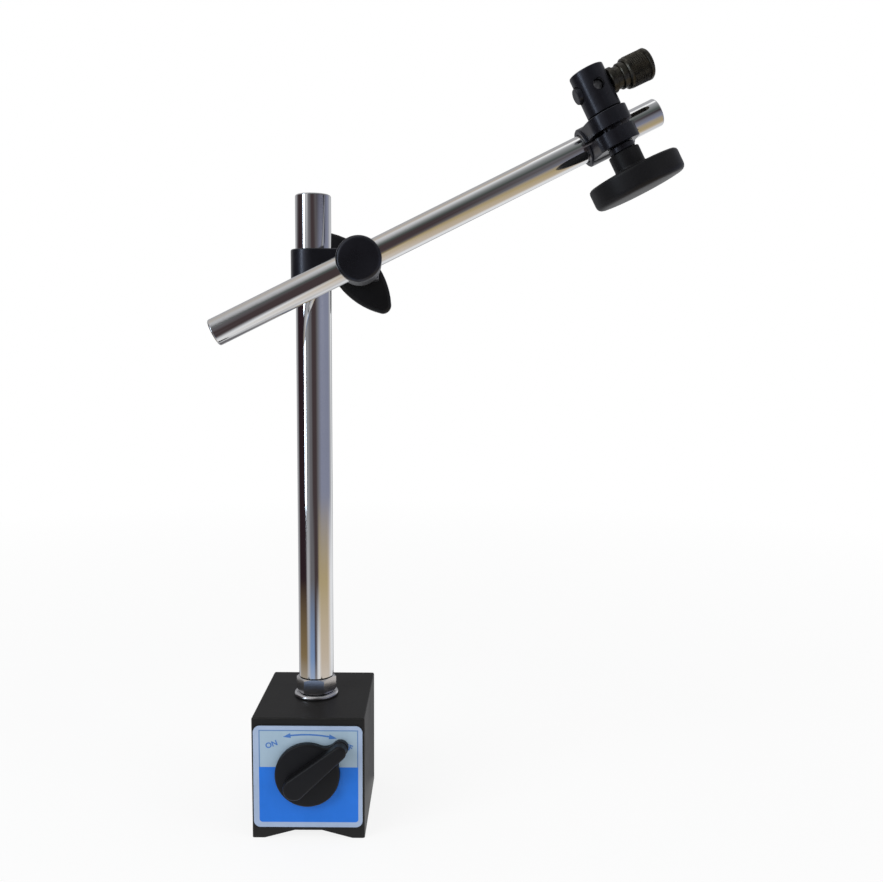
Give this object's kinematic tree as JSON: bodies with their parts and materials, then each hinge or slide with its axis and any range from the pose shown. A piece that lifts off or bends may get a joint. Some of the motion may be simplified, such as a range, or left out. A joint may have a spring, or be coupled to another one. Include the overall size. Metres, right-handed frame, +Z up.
{
  "type": "magnetic indicator stand",
  "caption": "Switchable magnetic base with an upright column, a swivel clamp that carries a tilting arm, and a clamp for a dial gauge at the end of the arm.",
  "frame": {"origin": "middle of the base's footprint, on the surface that it stands on", "axes": "+Z up along the column; -Y towards the switch side of the base; +X towards the gauge end of the arm"},
  "size_m": [0.1995, 0.0906, 0.3408],
  "materials": {
    "black_paint": "satin black paint",
    "brass": "plain",
    "magnet_grey": "cast magnet alloy",
    "steel": "machined",
    "bright_steel": "zinc plated",
    "chrome": "polished",
    "black_oxide": "black oxide",
    "black_plastic": "satin",
    "label_print": "printed plate"
  },
  "bodies": {
    "base": {"pole_block_left": "black_paint", "pole_block_right": "black_paint", "spacer_lower": "brass", "spacer_upper": "brass", "dowel_pin_lower_front": "steel", "dowel_pin_lower_rear": "steel", "dowel_pin_upper_front": "steel", "dowel_pin_upper_rear": "steel", "front_bush": "brass", "rear_cover": "black_paint", "cover_screw_1": "steel", "cover_screw_2": "steel", "cover_screw_3": "steel", "cover_screw_4": "steel", "label_plate": "label_print", "base_washer": "bright_steel"},
    "rotor": {"switch_knob": "black_plastic", "rotor_magnet": "magnet_grey", "rotor_cheek_upper": "steel", "rotor_cheek_lower": "steel", "rotor_front_cap": "steel", "rotor_rear_cap": "steel"},
    "column": {"column": "chrome", "lock_nut": "bright_steel"},
    "column_clamp": {"column_clamp": "black_oxide"},
    "arm_head": {"eye_bolt": "steel", "clamp_cap": "black_oxide", "wing_washer": "bright_steel"},
    "wing": {"wing_knob": "black_plastic", "wing_insert": "brass"},
    "arm": {"arm_rod": "chrome"},
    "arm_clamp": {"arm_clamp": "black_oxide"},
    "gauge_post": {"gauge_post": "black_oxide", "knob_washer": "black_oxide"},
    "hand_knob": {"hand_knob": "black_plastic", "hand_knob_insert": "brass"},
    "knurled_nut": {"knurled_nut": "black_oxide"},
    "draw_bolt": {"draw_bolt": "black_oxide"}
  },
  "joints": [
    {"name": "switch_turn", "type": "hinge", "parent": "base", "child": "rotor", "pos_m": [0, 0, 0.0303], "axis": [0, -1, 0], "range_deg": [0, 90]},
    {"name": "column_swing", "type": "hinge", "parent": "base", "child": "column", "pos_m": [0, 0, 0], "axis": [0, 0, 1], "continuous": true},
    {"name": "clamp_slide", "type": "slide", "parent": "column", "child": "column_clamp", "axis": [0, 0, 1], "range_m": [-0.08, 0.018]},
    {"name": "arm_tilt", "type": "hinge", "parent": "column_clamp", "child": "arm_head", "pos_m": [0.02064, 0.00152, 0.2541], "axis": [0.0732, -0.9973, 0], "range_deg": [-40, 33]},
    {"name": "wing_turn", "type": "hinge", "parent": "arm_head", "child": "wing", "pos_m": [0.02064, 0.00152, 0.2541], "axis": [-0.0732, 0.9973, 0], "continuous": true},
    {"name": "arm_slide", "type": "slide", "parent": "arm_head", "child": "arm", "axis": [0.8902, 0.0654, 0.4509], "range_m": [-0.05, 0.04]},
    {"name": "arm_clamp_roll", "type": "hinge", "parent": "arm", "child": "arm_clamp", "pos_m": [0.12712, -0.01523, 0.30712], "axis": [0.8902, 0.0654, 0.4509], "continuous": true},
    {"name": "post_swivel", "type": "hinge", "parent": "arm_clamp", "child": "gauge_post", "pos_m": [0.12796, -0.0302, 0.30764], "axis": [-0.4521, 0.0053, 0.8919], "continuous": true},
    {"name": "hand_knob_turn", "type": "hinge", "parent": "gauge_post", "child": "hand_knob", "pos_m": [0.12796, -0.0302, 0.30764], "axis": [-0.4521, 0.0053, 0.8919], "continuous": true},
    {"name": "knurled_turn", "type": "hinge", "parent": "gauge_post", "child": "knurled_nut", "pos_m": [0.11983, -0.0301, 0.32369], "axis": [-0.8819, -0.1521, -0.4462], "range_deg": [0, 270]},
    {"name": "draw_slide", "type": "slide", "parent": "gauge_post", "child": "draw_bolt", "axis": [0.8819, 0.1521, 0.4462], "range_m": [0, 0.00075]}
  ],
  "couplings": [
    {"joint": "knurled_turn", "follows": "draw_slide", "rad_per_m": 6283.2}
  ]
}
